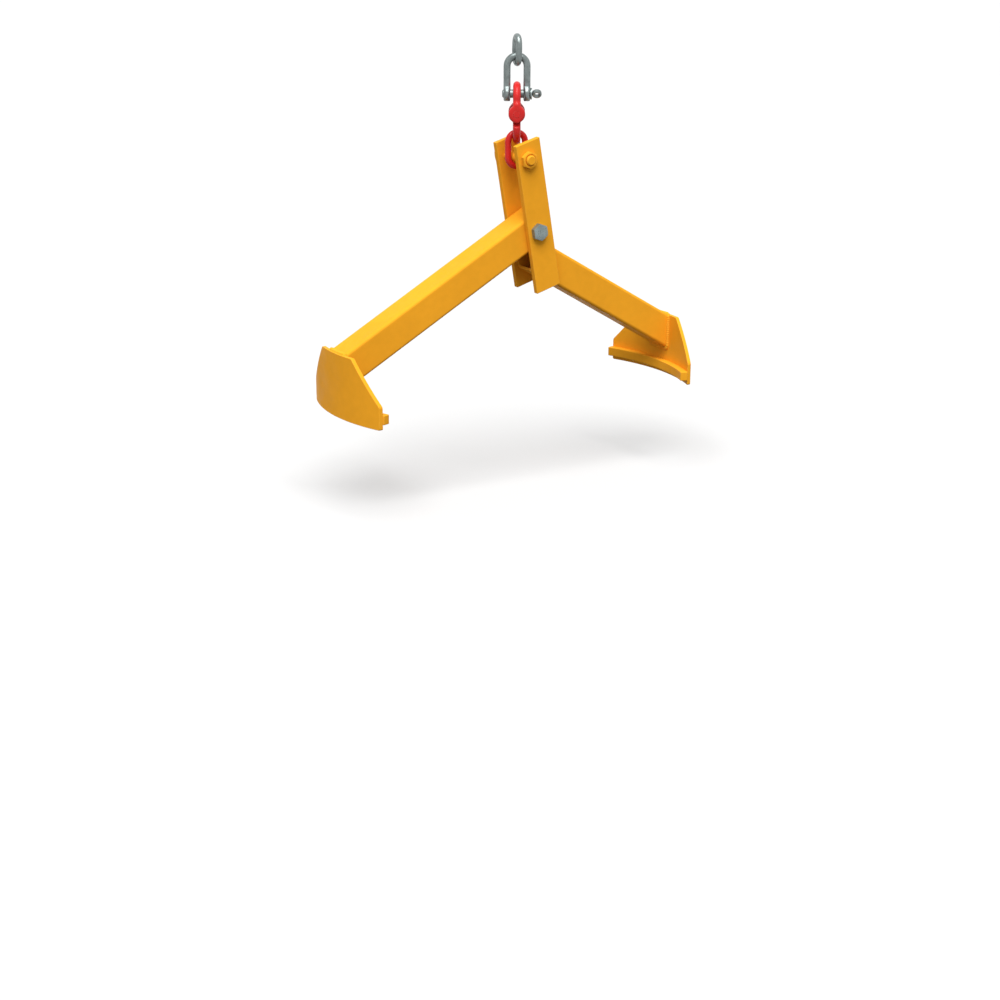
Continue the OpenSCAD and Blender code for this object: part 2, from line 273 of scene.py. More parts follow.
def make_paint_film():
    tree, given, result = new_group(
        "paint_film",
        [("Paint", "Color", (0.8, 0.4, 0.05, 1)),
         ("Thin Paint And Highlight", "Color", (0.9, 0.6, 0.2, 1))],
        [("Color", "Color"), ("Roughness", "Float"), ("Height", "Float")],
    )
    patches = remap(tree, add_noise(tree, patch_scale, detail=4.0), mid_noise, patch_tone)
    speckles = remap(tree, add_noise(tree, speckle_scale), mid_noise, speckle_tone)
    tone = combine(tree, "MULTIPLY", patches, speckles)
    body = shade_colour(tree, given.outputs["Paint"], tone)

    # Paint draws away from sharp edges as it dries, and edges get a paler colour: thinner paint and
    # also a painted highlight
    highlight_breaks = remap(tree, add_noise(tree, highlight_break_scale), highlight_break_noise, highlight_break_cover)
    edge = combine(tree, "MULTIPLY", edge_mask(tree), highlight_breaks)
    coat = mix_colour(tree, edge, body, given.outputs["Thin Paint And Highlight"])
    tree.links.new(coat, result.inputs["Color"])

    dull = remap(tree, add_noise(tree, dull_scale, detail=4.0), mid_noise, dull_roughness)
    tree.links.new(dull, result.inputs["Roughness"])
    peel = add_noise(tree, peel_scale, detail=2.0)
    runs = add_noise(tree, run_scale, detail=1.0)
    tree.links.new(combine(tree, "ADD", peel, runs), result.inputs["Height"])
    return tree


paint_film = make_paint_film()
print("group:", paint_film.name)

# %% Zinc skin
crystal_range, crystal_tones, crystal_roughness = (0.0, 1.0), (0.86, 1.06), (0.26, 0.44)
stain_scale, stain_noise, stain_tones = 70.0, (0.38, 0.68), (1.05, 0.72)
lump_scale = 300.0


def make_zinc_skin():
    tree, given, result = new_group(
        "zinc_skin",
        [("Metal", "Color", (0.6, 0.62, 0.63, 1)),
         ("Crystal Scale", "Float", 160.0)],
        [("Color", "Color"), ("Roughness", "Float"), ("Height", "Float")],
    )
    where = tree.nodes.new("ShaderNodeTexCoord").outputs["Object"]
    crystals = tree.nodes.new("ShaderNodeTexVoronoi")
    tree.links.new(where, crystals.inputs["Vector"])
    tree.links.new(given.outputs["Crystal Scale"], crystals.inputs["Scale"])
    grey = tree.nodes.new("ShaderNodeSeparateColor")
    tree.links.new(crystals.outputs["Color"], grey.inputs["Color"])
    crystal_tone = remap(tree, grey.outputs["Red"], crystal_range, crystal_tones)
    stain = remap(tree, add_noise(tree, stain_scale, detail=5.0), stain_noise, stain_tones)
    tone = combine(tree, "MULTIPLY", crystal_tone, stain)
    tree.links.new(shade_colour(tree, given.outputs["Metal"], tone), result.inputs["Color"])
    rough = remap(tree, grey.outputs["Green"], crystal_range, crystal_roughness)
    tree.links.new(rough, result.inputs["Roughness"])
    tree.links.new(add_noise(tree, lump_scale), result.inputs["Height"])
    return tree


zinc_skin = make_zinc_skin()
print("group:", zinc_skin.name)

# %% [markdown]
# ## The five finishes
# Yellow paint covers the cheeks, arms, shoes and jaws, and the top bolt, which was fitted before
# painting. Red paint covers the coupling, its pin and the short link. The shackle and the top
# link are hot-dip galvanised, the pivot bolt is bright zinc plated, and the coupling's bush and
# the pivot sleeve are bare steel. Values that are the same all over, such as the gloss of the
# paint, sit on the shader itself.

# %% Five finishes
def new_finish(name, group, values, bump, fixed):
    """A material that reads a shared group for colour, roughness and relief."""
    material = bpy.data.materials.new(name)
    material.use_nodes = True
    tree = material.node_tree
    shade = tree.nodes["Principled BSDF"]
    effect = tree.nodes.new("ShaderNodeGroup")
    effect.node_tree = group
    for label, value in values.items():
        effect.inputs[label].default_value = value
    for label, value in fixed.items():
        shade.inputs[label].default_value = value
    relief = tree.nodes.new("ShaderNodeBump")
    relief.inputs["Distance"].default_value = bump
    tree.links.new(effect.outputs["Height"], relief.inputs["Height"])
    tree.links.new(effect.outputs["Color"], shade.inputs["Base Color"])
    tree.links.new(effect.outputs["Roughness"], shade.inputs["Roughness"])
    tree.links.new(relief.outputs["Normal"], shade.inputs["Normal"])
    return material


coat_roughness = 0.12


def paint(name, colour, thin_paint_and_highlight, bump, sheen, gloss):
    shine = {"Coat Weight": gloss, "Coat Roughness": coat_roughness, "Specular IOR Level": sheen}
    return new_finish(name, paint_film, {"Paint": colour, "Thin Paint And Highlight": thin_paint_and_highlight}, bump, shine)


def bare_metal(name, colour, crystals, bump, metallic, sheen):
    shine = {"Metallic": metallic, "Specular IOR Level": sheen}
    values = {"Metal": colour, "Crystal Scale": crystals}
    return new_finish(name, zinc_skin, values, bump, shine)


# Each paint's second colour is its paler edge: thinner paint, and also a painted highlight
finishes = {
    "yellow_paint": paint(
        "yellow_paint", colour=(0.87, 0.375, 0.021, 1), thin_paint_and_highlight=(0.92, 0.50, 0.07, 1),
        bump=0.12 * mm, sheen=0.02, gloss=0.0),
    "red_paint": paint(
        "red_paint", colour=(0.60, 0.018, 0.016, 1), thin_paint_and_highlight=(0.66, 0.07, 0.06, 1),
        bump=0.15 * mm, sheen=0.1, gloss=0.25),
    "galvanised": bare_metal(
        "galvanised", colour=(0.235, 0.272, 0.267, 1), crystals=210.0,
        bump=0.10 * mm, metallic=0.7, sheen=0.3),
    "zinc_plate": bare_metal(
        "zinc_plate", colour=(0.25, 0.305, 0.305, 1), crystals=900.0,
        bump=0.03 * mm, metallic=0.6, sheen=0.7),
    "bare_steel": bare_metal(
        "bare_steel", colour=(0.30, 0.30, 0.31, 1), crystals=600.0,
        bump=0.05 * mm, metallic=0.9, sheen=0.7),
}
print("finishes:", ", ".join(finishes))

# %% [markdown]
# ## From bmesh to finished piece
# Each piece is shaped in a bmesh and then becomes an object that sits at the origin, with its
# place in its mesh. Smooth shading with weighted normals keeps flat faces flat and lets the small
# rounded edges catch the light. Holes are drilled with a Boolean modifier, as they are on the
# bench: the tool is a plain round bar, and it is thrown away afterwards.

# %% Piece helpers
bodies = frame["record"]["behaviour"]["bodies"]
node_body = {node: body for body, nodes in bodies.items() for node in nodes}
sharp_angle = radians(38)
same_spot = 0.002 * mm
drill_sides = 64
made = []


def new_object(bm, name):
    bmesh.ops.remove_doubles(bm, verts=bm.verts[:], dist=same_spot)
    bmesh.ops.recalc_face_normals(bm, faces=bm.faces[:])
    mesh = bpy.data.meshes.new(name)
    bm.to_mesh(mesh)
    bm.free()
    piece = bpy.data.objects.new(name, mesh)
    scene.collection.objects.link(piece)
    return piece


def cut_or_fuse(piece, tool_bm, operation):
    """Take a tool's shape out of a piece, or join it on, and throw the tool away."""
    tool = new_object(tool_bm, "bench_tool")
    change = piece.modifiers.new("bench_change", "BOOLEAN")
    change.operation = operation
    change.solver = "EXACT"
    change.object = tool
    graph = bpy.context.evaluated_depsgraph_get()
    changed = bpy.data.meshes.new_from_object(piece.evaluated_get(graph))
    piece.modifiers.clear()
    piece.data = changed
    bpy.data.objects.remove(tool)


def drill(piece, place, diameter, length):
    """A round hole through a piece, along the Y axis of a place."""
    bm = bmesh.new()
    along_y = Matrix.Rotation(pi / 2, 4, "X")
    bmesh.ops.create_cone(bm, cap_ends=True, segments=drill_sides, radius1=diameter / 2,
                          radius2=diameter / 2, depth=length, matrix=place @ along_y)
    cut_or_fuse(piece, bm, "DIFFERENCE")


def dress(piece, body, finish):
    """Shade a piece, give it its finish and let it ride on a body."""
    mesh = piece.data
    mesh.polygons.foreach_set("use_smooth", [True] * len(mesh.polygons))
    mesh.set_sharp_from_angle(angle=sharp_angle)
    mesh.materials.clear()
    mesh.materials.append(finishes[finish])
    normals = piece.modifiers.new("weighted_normals", "WEIGHTED_NORMAL")
    normals.keep_sharp = True
    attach(piece, body)
    made.append(piece)
    print(piece.name, "on", body, "with", len(mesh.polygons), "faces")


def stand_for(piece, node, finish):
    """Dress a piece and let it stand for the node of the frame that it models again."""
    dress(piece, node_body[node], finish)
    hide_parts(node)


def soften(bm, edges, width, segments=3):
    """Round some edges by a small width."""
    bmesh.ops.bevel(bm, geom=edges, offset=width, offset_type="OFFSET", segments=segments,
                    profile=0.5, affect="EDGES", material=-1, clamp_overlap=True)


def sharp_edges(bm):
    inner = [edge for edge in bm.edges if edge.is_manifold]
    return [edge for edge in inner if edge.calc_face_angle() > sharp_angle]


def slice_up(bm, point, out, clear=False):
    """Cut a mesh along a plane, and clear what lies outside it if that is asked."""
    everything = bm.verts[:] + bm.edges[:] + bm.faces[:]
    return bmesh.ops.bisect_plane(bm, geom=everything, plane_co=point, plane_no=out,
                                  clear_outer=clear)["geom_cut"]


def put(bm, place):
    bmesh.ops.transform(bm, matrix=place, verts=bm.verts[:])


print("pieces known:", len(node_body))

# %% [markdown]
# ## Cheek plates
# The head is two flat bars, sawn to length on a slight slant, that lean towards the swing arm. A
# sawn bar under several coats of paint has edges rounded by about a millimetre, so a cube is
# stretched to the bar's size, sheared to the slant, softened all round and drilled for the two
# bolts. The lean comes from the two bolt centres.

# %% Cheek plates
joints = {joint["name"]: joint for joint in frame["joints"]}
pivot = Vector(joints["arm_pivot"]["pos_m"])
top_bolt = Vector(joints["head_swing"]["pos_m"])
bolt_span = (top_bolt - pivot).length
lean = atan2(pivot.x - top_bolt.x, top_bolt.z - pivot.z)
head_place = Matrix.Translation(pivot) @ Matrix.Rotation(-lean, 4, "Y")
top_place = head_place @ Matrix.Translation((0, 0, bolt_span))

cheek_width = 44 * mm
hole_inset = 18 * mm
cheek_over = 27 * mm
cheek_under = 96 * mm
cheek_slope = tan(radians(7))
cheek_round = 1.1 * mm
bolt_hole = 16.5 * mm


def cheek_plate(node):
    low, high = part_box(node)
    length = cheek_under + bolt_span + cheek_over
    bm = bmesh.new()
    bmesh.ops.create_cube(bm, size=1)
    bmesh.ops.scale(bm, vec=(cheek_width, high.y - low.y, length), verts=bm.verts)
    middle = (cheek_width / 2 - hole_inset, (low.y + high.y) / 2, length / 2 - cheek_under)
    bmesh.ops.translate(bm, vec=middle, verts=bm.verts)
    slant = Matrix()
    slant[2][0] = cheek_slope
    put(bm, slant)
    soften(bm, bm.edges[:], cheek_round)
    put(bm, head_place)
    piece = new_object(bm, node + "_plate")
    through = 4 * max(high.y, -low.y)
    for place in (head_place, top_place):
        drill(piece, place, bolt_hole, through)
    stand_for(piece, node, "yellow_paint")


for node in ("front_cheek", "rear_cheek"):
    cheek_plate(node)

# %% [markdown]
# ## Bolts, nuts and washers
# A forged bolt head is a hexagon whose top is turned to a shallow cone, which leaves the curved
# arcs that make a bolt look real. So the whole bolt is spun as one profile with a coned head, and
# six planes then cut the flats. Nuts are made the same way, with a cone on both sides. The pivot
# bolt has its head in front. The top bolt was put in from the rear, so its nut and thread end
# show in front, and its place is turned half round.

# %% Turned and six-sided pieces
turn_steps = 72


def lathe(profile, closed=False):
    """Spin a half profile of (radius, place along Y) pairs once round the Y axis."""
    bm = bmesh.new()
    verts = [bm.verts.new((radius, along, 0)) for radius, along in profile]
    edges = [bm.edges.new(pair) for pair in zip(verts, verts[1:])]
    if closed:
        edges.append(bm.edges.new((verts[-1], verts[0])))
    bmesh.ops.spin(bm, geom=verts + edges, cent=(0, 0, 0), axis=(0, 1, 0), angle=2 * pi,
                   steps=turn_steps, use_merge=True)
    bmesh.ops.remove_doubles(bm, verts=bm.verts[:], dist=same_spot)
    bmesh.ops.recalc_face_normals(bm, faces=bm.faces[:])
    return bm


def cut_flats(bm, flats):
    """Cut six flats, with corners up and down."""
    for turn in range(6):
        out = Vector((cos(turn * pi / 3), 0, sin(turn * pi / 3)))
        cut = slice_up(bm, out * flats / 2, out, clear=True)
        rim = [item for item in cut if isinstance(item, bmesh.types.BMEdge)]
        bmesh.ops.edgeloop_fill(bm, edges=rim)


def turned_ring(outer_d, inner_d, y0, y1, round_off):
    """A round collar along Y with its four edges broken."""
    outer, inner = outer_d / 2, inner_d / 2
    return lathe([
        (inner, y0 + round_off), (inner + round_off, y0),
        (outer - round_off, y0), (outer, y0 + round_off),
        (outer, y1 - round_off), (outer - round_off, y1),
        (inner + round_off, y1), (inner, y1 - round_off),
    ], closed=True)


print("lathe with", turn_steps, "steps")

# %% Bolts, nuts and washers
bolt_d = 16 * mm
flats = 24 * mm
corner_r = flats / sqrt(3)
cone_slope = 0.55
cone_r = 0.475 * flats
cone_h = (corner_r - cone_r) * cone_slope
head_h = 9 * mm
tip_chamfer = 1.8 * mm
washer_d = 30 * mm
break_edge = 0.35 * mm
thread_gap = 0.1 * mm


def ends_along(place, node):
    """Where a node starts and ends along the Y axis of a place."""
    return sorted(corner.y * place.col[1].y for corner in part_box(node))


def hex_bolt(node, place, finish):
    low, high = ends_along(place, node)
    radius, seat = bolt_d / 2, low + head_h
    bm = lathe([
        (0, low), (cone_r, low), (corner_r, low + cone_h), (corner_r, seat - break_edge),
        (corner_r - break_edge, seat), (radius, seat), (radius, high - tip_chamfer),
        (radius - tip_chamfer, high), (0, high),
    ])
    cut_flats(bm, flats)
    put(bm, place)
    stand_for(new_object(bm, node + "_hex"), node, finish)


def hex_nut(node, place, finish):
    low, high = ends_along(place, node)
    bore = bolt_d / 2 + thread_gap
    bm = lathe([
        (bore, low), (cone_r, low), (corner_r, low + cone_h), (corner_r, high - cone_h),
        (cone_r, high), (bore + tip_chamfer, high), (bore, high - tip_chamfer),
    ], closed=True)
    cut_flats(bm, flats)
    put(bm, place)
    stand_for(new_object(bm, node + "_hex"), node, finish)


def washer(node, place, finish):
    low, high = ends_along(place, node)
    bm = turned_ring(washer_d, bolt_hole, low, high, break_edge)
    put(bm, place)
    stand_for(new_object(bm, node + "_disc"), node, finish)


from_rear = top_place @ Matrix.Rotation(pi, 4, "Z")
for name, place, finish in (("top", from_rear, "yellow_paint"),
                            ("pivot", head_place, "zinc_plate")):
    hex_bolt(name + "_bolt", place, finish)
    hex_nut(name + "_nut", place, finish)
    washer(name + "_washer", place, finish)

# %% [markdown]
# ## Box-section arms
# Each arm is a length of square tube with rolled corners. The outer end is cut to the curve of
# the shoe that it is welded to, and the fixed arm's inner end is cut back so that the swing arm
# can open and close beside it. A cube with four rounded edges and no ends is the tube's skin. The
# end at the shoe is slid along the arm until it meets the curve, planes cut the fixed arm's inner
# end, and solidify then gives the skin its wall.

# %% Where the arms and shoes lie
shoe_t = 6 * mm
shoe_under = 33 * mm
arm_land = 39 * mm
tube_w = 50 * mm
tube_wall = 4 * mm
tube_corner = 5 * mm
weld_gap = 0.1 * mm
fixed_arm_drop = 7.5 * mm

shoe_low, shoe_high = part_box("fixed_shoe")
axis_x = (shoe_high.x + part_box("swing_shoe")[0].x) / 2
shoe_r = shoe_high.x - axis_x - shoe_t
grip_z = shoe_low.z + shoe_under
rise = pivot.z - grip_z - arm_land
swing_slope = atan2(rise, shoe_r + pivot.x - axis_x)
fixed_run = shoe_r - pivot.x + axis_x
fixed_slope = (atan2(rise, fixed_run)
               - asin((fixed_arm_drop + tube_w / 2) / hypot(fixed_run, rise)))
swing_place = Matrix.Translation(pivot) @ Matrix.Rotation(-swing_slope, 4, "Y")
fixed_place = (Matrix.Translation(pivot) @ Matrix.Rotation(fixed_slope, 4, "Y")
               @ Matrix.Translation((0, 0, -fixed_arm_drop - tube_w / 2)))
print("shoe radius", round(shoe_r / mm, 2))
print("arm slopes", round(swing_slope, 4), round(fixed_slope, 4))

# %% Arm tubes
corner_steps = 6
bend_cuts = (-0.3, -0.15, 0, 0.15, 0.3)


def tube_skin(x0, x1):
    """The outside of a square tube along X, with rolled corners and open ends."""
    bm = bmesh.new()
    bmesh.ops.create_cube(bm, size=1)
    bmesh.ops.scale(bm, vec=(x1 - x0, tube_w, tube_w), verts=bm.verts)
    bmesh.ops.translate(bm, vec=((x0 + x1) / 2, 0, 0), verts=bm.verts)
    ends = [face for face in bm.faces if abs(face.normal.x) > 0.5]
    bmesh.ops.delete(bm, geom=ends, context="FACES_ONLY")
    long_edges = [edge for edge in bm.edges
                  if abs((edge.verts[0].co - edge.verts[1].co).x) > tube_w]
    soften(bm, long_edges, tube_corner, segments=corner_steps)
    for share in bend_cuts:
        slice_up(bm, (0, share * tube_w, 0), (0, 1, 0))
    return bm


def slide_to_shoe(verts, place, side):
    """Slide the end of a tube along the arm until it meets the inside of the shoe's curve."""
    along = (place.to_3x3() @ Vector((side, 0, 0))).normalized()
    for vert in verts:
        reach = side * sqrt((shoe_r - weld_gap) ** 2 - vert.co.y ** 2) + axis_x
        vert.co += along * (reach - vert.co.x) / along.x


def arm_tube(node, place, side, x0, x1, cuts):
    """Make an arm that lands on the shoe at the side of +1 or -1. Returns it and its seam."""
    bm = tube_skin(x0, x1)
    landing = x1 if side > 0 else x0
    at_shoe = [vert for vert in bm.verts if abs(vert.co.x - landing) < same_spot]
    seam = sorted(at_shoe, key=lambda vert: atan2(vert.co.z, vert.co.y))
    put(bm, place)
    slide_to_shoe(at_shoe, place, side)
    seam = [vert.co.copy() for vert in seam]
    for point, out in cuts:
        slice_up(bm, point, out, clear=True)
    bmesh.ops.recalc_face_normals(bm, faces=bm.faces[:])
    bmesh.ops.solidify(bm, geom=bm.faces[:], thickness=tube_wall)
    return new_object(bm, node + "_box"), seam


run_gap = 0.4 * mm
fixed_arm_inset = 6 * mm
swing_tail = 22 * mm
sleeve_d = 24 * mm
stops = [radians(6), radians(-20)]
arm_reach = 0.55

trims = []
for stop in stops:
    turned = Matrix.Translation(pivot) @ Matrix.Rotation(-swing_slope - stop, 4, "Y")
    under_arm = turned @ Vector((0, 0, -tube_w / 2 - run_gap))
    trims.append((under_arm, turned.to_3x3() @ Vector((0, 0, 1))))
inner_end = head_place @ Vector((fixed_arm_inset - hole_inset, 0, 0))
trims.append((inner_end, head_place.to_3x3() @ Vector((-1, 0, 0))))

fixed_tube, fixed_seam = arm_tube("fixed_arm_tube", fixed_place, 1, -tube_w, arm_reach, trims)
swing_tube, swing_seam = arm_tube("swing_arm_tube", swing_place, -1, -arm_reach, swing_tail, [])
drill(swing_tube, Matrix.Translation(pivot), sleeve_d + 2 * weld_gap, 2 * tube_w)
stand_for(fixed_tube, "fixed_arm_tube", "yellow_paint")
stand_for(swing_tube, "swing_arm_tube", "yellow_paint")

# %% [markdown]
# ## Pivot sleeve
# The swing arm turns on a plain steel sleeve that is welded through its walls. It is a turned
# ring.

# %% Pivot sleeve
sleeve_low, sleeve_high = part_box("pivot_sleeve")
shaft_gap = 0.08 * mm
bm = turned_ring(sleeve_d, bolt_d + 2 * shaft_gap, sleeve_low.y, sleeve_high.y, break_edge)
put(bm, Matrix.Translation(pivot))
stand_for(new_object(bm, "pivot_sleeve_ring"), "pivot_sleeve", "bare_steel")

# %% [markdown]
# ## Shoes
# A shoe is a 6 mm plate, cut to a house-like outline and rolled to the curve that it grips. The
# outline is one face with six corners. Upright cuts let it bend, an extrusion gives the plate its
# other side, and each point then moves out to the radius of its own side.

# %% Shoes
shoe_top_w = 100 * mm
shoe_shoulder = 3 * mm
corner_round = 2.5 * mm
corner_segments = 4
plate_round = 1.0 * mm
shoe_slices = 48


def shoe_plate(node, turn):
    low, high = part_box(node)
    half, shoulder, half_top = high.y, grip_z + shoe_shoulder, shoe_top_w / 2
    bm = bmesh.new()
    bm.faces.new([bm.verts.new((0, y, z)) for y, z in (
        (-half, low.z), (half, low.z), (half, shoulder),
        (half_top, high.z), (-half_top, high.z), (-half, shoulder))])
    bmesh.ops.bevel(bm, geom=bm.verts[:], offset=corner_round, offset_type="OFFSET",
                    segments=corner_segments, profile=0.5, affect="VERTICES", material=-1)
    for number in range(1, shoe_slices):
        slice_up(bm, (0, half * (2 * number / shoe_slices - 1), 0), (0, 1, 0))
    far = bmesh.ops.extrude_face_region(bm, geom=bm.faces[:], use_keep_orig=True)["geom"]
    far_verts = {item for item in far if isinstance(item, bmesh.types.BMVert)}
    for vert in bm.verts:
        radius = shoe_r + shoe_t if vert in far_verts else shoe_r
        vert.co.x = sqrt(radius ** 2 - vert.co.y ** 2)
    bmesh.ops.recalc_face_normals(bm, faces=bm.faces[:])
    soften(bm, sharp_edges(bm), plate_round)
    put(bm, Matrix.Translation((axis_x, 0, 0)) @ Matrix.Rotation(turn, 4, "Z"))
    stand_for(new_object(bm, node + "_plate"), node, "yellow_paint")


shoe_plate("fixed_shoe", 0)
shoe_plate("swing_shoe", pi)

# %% [markdown]
# ## Jaw bars
# Low on its inside, each shoe carries a curved bar that takes the load. It is a rectangle spun
# through part of a turn, with both ends closed and every edge broken.

# %% Jaw bars
jaw_w = 12 * mm
jaw_past = 4 * mm
jaw_round = 1.2 * mm
jaw_steps = 44
shoe_end_angle = asin(shoe_high.y / (shoe_r + shoe_t))
jaw_angle = shoe_end_angle + jaw_past / shoe_r


def jaw_bar(node, turn):
    low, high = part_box(node)
    outer = shoe_r - weld_gap
    bm = bmesh.new()
    profile = bm.faces.new([bm.verts.new((x, 0, z)) for x, z in (
        (outer - jaw_w, low.z), (outer, low.z), (outer, high.z), (outer - jaw_w, high.z))])
    to_start = Matrix.Rotation(-jaw_angle, 3, "Z")
    bmesh.ops.rotate(bm, cent=(0, 0, 0), matrix=to_start, verts=bm.verts)
    bmesh.ops.spin(bm, geom=[profile], cent=(0, 0, 0), axis=(0, 0, 1), angle=2 * jaw_angle,
                   steps=jaw_steps)
    bmesh.ops.holes_fill(bm, edges=[edge for edge in bm.edges if edge.is_boundary], sides=4)
    bmesh.ops.recalc_face_normals(bm, faces=bm.faces[:])
    soften(bm, sharp_edges(bm), jaw_round)
    put(bm, Matrix.Translation((axis_x, 0, 0)) @ Matrix.Rotation(turn, 4, "Z"))
    stand_for(new_object(bm, node + "_bar"), node, "yellow_paint")


jaw_bar("fixed_jaw", 0)
jaw_bar("swing_jaw", pi)

# %% [markdown]
# ## Chain links
# A chain link is a round bar bent to a loop and butt welded on one side, where a slight swell is
# left. A ring of edges is carried up one leg and spun over the top, and a mirror closes the loop.

# %% Chain links
bar_sides = 28
bend_steps = 24
leg_steps = 8
swell_height = 0.06
swell_length = 4.5 * mm


def round_ring(bm, diameter, place, sides=bar_sides):
    """A ring of edges across a bar that runs along the Z axis of a place."""
    verts = bmesh.ops.create_circle(bm, cap_ends=False, segments=sides, radius=diameter / 2,
                                    matrix=place)["verts"]
    return list({edge for vert in verts for edge in vert.link_edges})


def carry(bm, edges, vector, steps):
    """Extrude a ring along a vector in equal steps, and return the last ring."""
    for _ in range(steps):
        grown = bmesh.ops.extrude_edge_only(bm, edges=edges)["geom"]
        verts = [item for item in grown if isinstance(item, bmesh.types.BMVert)]
        edges = [item for item in grown if isinstance(item, bmesh.types.BMEdge)]
        bmesh.ops.translate(bm, vec=vector / steps, verts=verts)
    return edges


def chain_link(node, bar, gap, inside, place, finish):
    """A loop of round bar in the XZ plane of a place, which is the top of its opening."""
    straight = (inside - gap) / 2
    leg = (gap + bar) / 2
    bm = bmesh.new()
    first = round_ring(bm, bar, Matrix.Translation((leg, 0, 0)))
    at_bend = carry(bm, first, Vector((0, 0, straight)), leg_steps)
    verts = list({vert for edge in at_bend for vert in edge.verts})
    turned = bmesh.ops.spin(bm, geom=verts + at_bend, cent=(0, 0, straight), axis=(0, 1, 0),
                            angle=-pi, steps=bend_steps)["geom_last"]
    last = [item for item in turned if isinstance(item, bmesh.types.BMEdge)]
    carry(bm, last, Vector((0, 0, -straight)), leg_steps)
    bmesh.ops.mirror(bm, geom=bm.verts[:] + bm.edges[:] + bm.faces[:], matrix=Matrix(),
                     merge_dist=same_spot, axis="Z")
    for vert in bm.verts:
        if vert.co.x > 0:
            swell = 1 + swell_height * exp(-(vert.co.z / swell_length) ** 2)
            vert.co.x = leg + (vert.co.x - leg) * swell
            vert.co.y *= swell
    put(bm, place @ Matrix.Translation((0, 0, -inside / 2)))
    stand_for(new_object(bm, node + "_loop"), node, finish)


def plan_turn(joint):
    """The direction of a joint's axis, seen from above."""
    axis = joints[joint]["axis"]
    return atan2(axis[1], axis[0])


top_bar, top_gap, top_inside = 10 * mm, 16 * mm, 30 * mm
hoist_bar, hoist_gap, hoist_inside = 10 * mm, 18.5 * mm, 42 * mm
hoist_turn = radians(-9)
top_link_place = Matrix.Rotation(plan_turn("shackle_swing"), 4, "Z")
hoist_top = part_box("hoist_link")[1].z - hoist_bar
hoist_place = Matrix.Translation((0, 0, hoist_top)) @ Matrix.Rotation(hoist_turn, 4, "Z")
chain_link("top_link", top_bar, top_gap, top_inside, top_link_place, "galvanised")
chain_link("hoist_link", hoist_bar, hoist_gap, hoist_inside, hoist_place, "red_paint")

# %% [markdown]
# ## Forged bows with eyes
# The shackle and both halves of the coupling are made alike: a round bar is bent to a bow, and
# its ends are hammered flat into eyes that a pin goes through. Cylinders joined to discs would
# leave hard corners, so each leg is lofted as a stack of rings. A ring starts as the round bar
# and turns into a flatter section as wide as the eye at that height, with a fillet where the eye
# grows out of the bar. Each side of the section has its own fullness: 2 is domed like an ellipse,
# and more is flatter. The eyes are drilled last.

# %% Forged bow
eye_rings = 44
blend_length = 9 * mm
eye_fillet = 5 * mm
eye_draw = 0.35
eye_tip = 0.985
crown_steps = 14


def ease(share):
    share = min(max(share, 0.0), 1.0)
    return share * share * (3 - 2 * share)


def fillet_max(first, second, fillet):
    """The larger of two lengths, with a smooth change from one to the other."""
    near = max(fillet - abs(first - second), 0) / fillet
    return max(first, second) + near * near * fillet / 4


def squared_ring(bm, x, z, half_t, half_w, inner_fullness, outer_fullness):
    """A level ring whose section goes from an ellipse, at a fullness of 2, towards a rectangle."""
    edges = round_ring(bm, 2, Matrix())
    for vert in {vert for edge in edges for vert in edge.verts}:
        fullness = outer_fullness if vert.co.x > 0 else inner_fullness
        across, along = (abs(c) ** (2 / fullness) * (1 if c > 0 else -1) for c in vert.co.xy)
        vert.co = (x + half_t * across, half_w * along, z)
    return edges


def forged_bow(bar, gap, arch_z, eye_d, eye_t, eye_x, inner_fullness, outer_fullness):
    """A bow in the XZ plane over a pin along X, with the middles of its eyes at eye_x."""
    bm = bmesh.new()
    leg, eye_r = (gap + bar) / 2, eye_d / 2
    first = round_ring(bm, bar, Matrix.Translation((leg, 0, arch_z)))
    verts = list({vert for edge in first for vert in edge.verts})
    bmesh.ops.spin(bm, geom=verts + first, cent=(0, 0, arch_z), axis=(0, 1, 0), angle=-pi / 2,
                   steps=crown_steps)
    before = first
    for number in range(1, eye_rings + 1):
        turn = pi * number / eye_rings
        z = (arch_z + eye_r) / 2 * cos(turn) + (arch_z - eye_r) / 2
        if number == eye_rings:
            z = -eye_r * eye_tip
        flat = ease((eye_r + blend_length - z) / blend_length)
        disc = sqrt(max(eye_r ** 2 - z ** 2, 0))
        half_w = min(fillet_max(disc, bar / 2, eye_fillet), eye_r) if z > 0 else disc
        tip = 1 - eye_draw * (1 - disc / eye_r) ** 2 if z < 0 else 1
        half_t = (bar + (eye_t - bar) * flat) / 2 * tip
        inner, outer = (2 + (full - 2) * flat for full in (inner_fullness, outer_fullness))
        ring = squared_ring(bm, leg + (eye_x - leg) * flat, z, half_t, half_w, inner, outer)
        bmesh.ops.bridge_loops(bm, edges=before + ring)
        before = ring
    bmesh.ops.edgeloop_fill(bm, edges=before)
    bmesh.ops.mirror(bm, geom=bm.verts[:] + bm.edges[:] + bm.faces[:], matrix=Matrix(),
                     merge_dist=same_spot, axis="X")
    return bm


pin_direction = plan_turn("coupling_swing")
pin_z = joints["coupling_swing"]["pos_m"][2]
hub_z = joints["coupling_fold"]["pos_m"][2]
across_pin = Matrix.Rotation(-pi / 2, 4, "Z")
shackle_place = Matrix.Translation((0, 0, pin_z)) @ Matrix.Rotation(pin_direction, 4, "Z")
hub_turn = Matrix.Rotation(plan_turn("coupling_fold"), 4, "Z")
hub_place = Matrix.Translation((0, 0, hub_z)) @ hub_turn

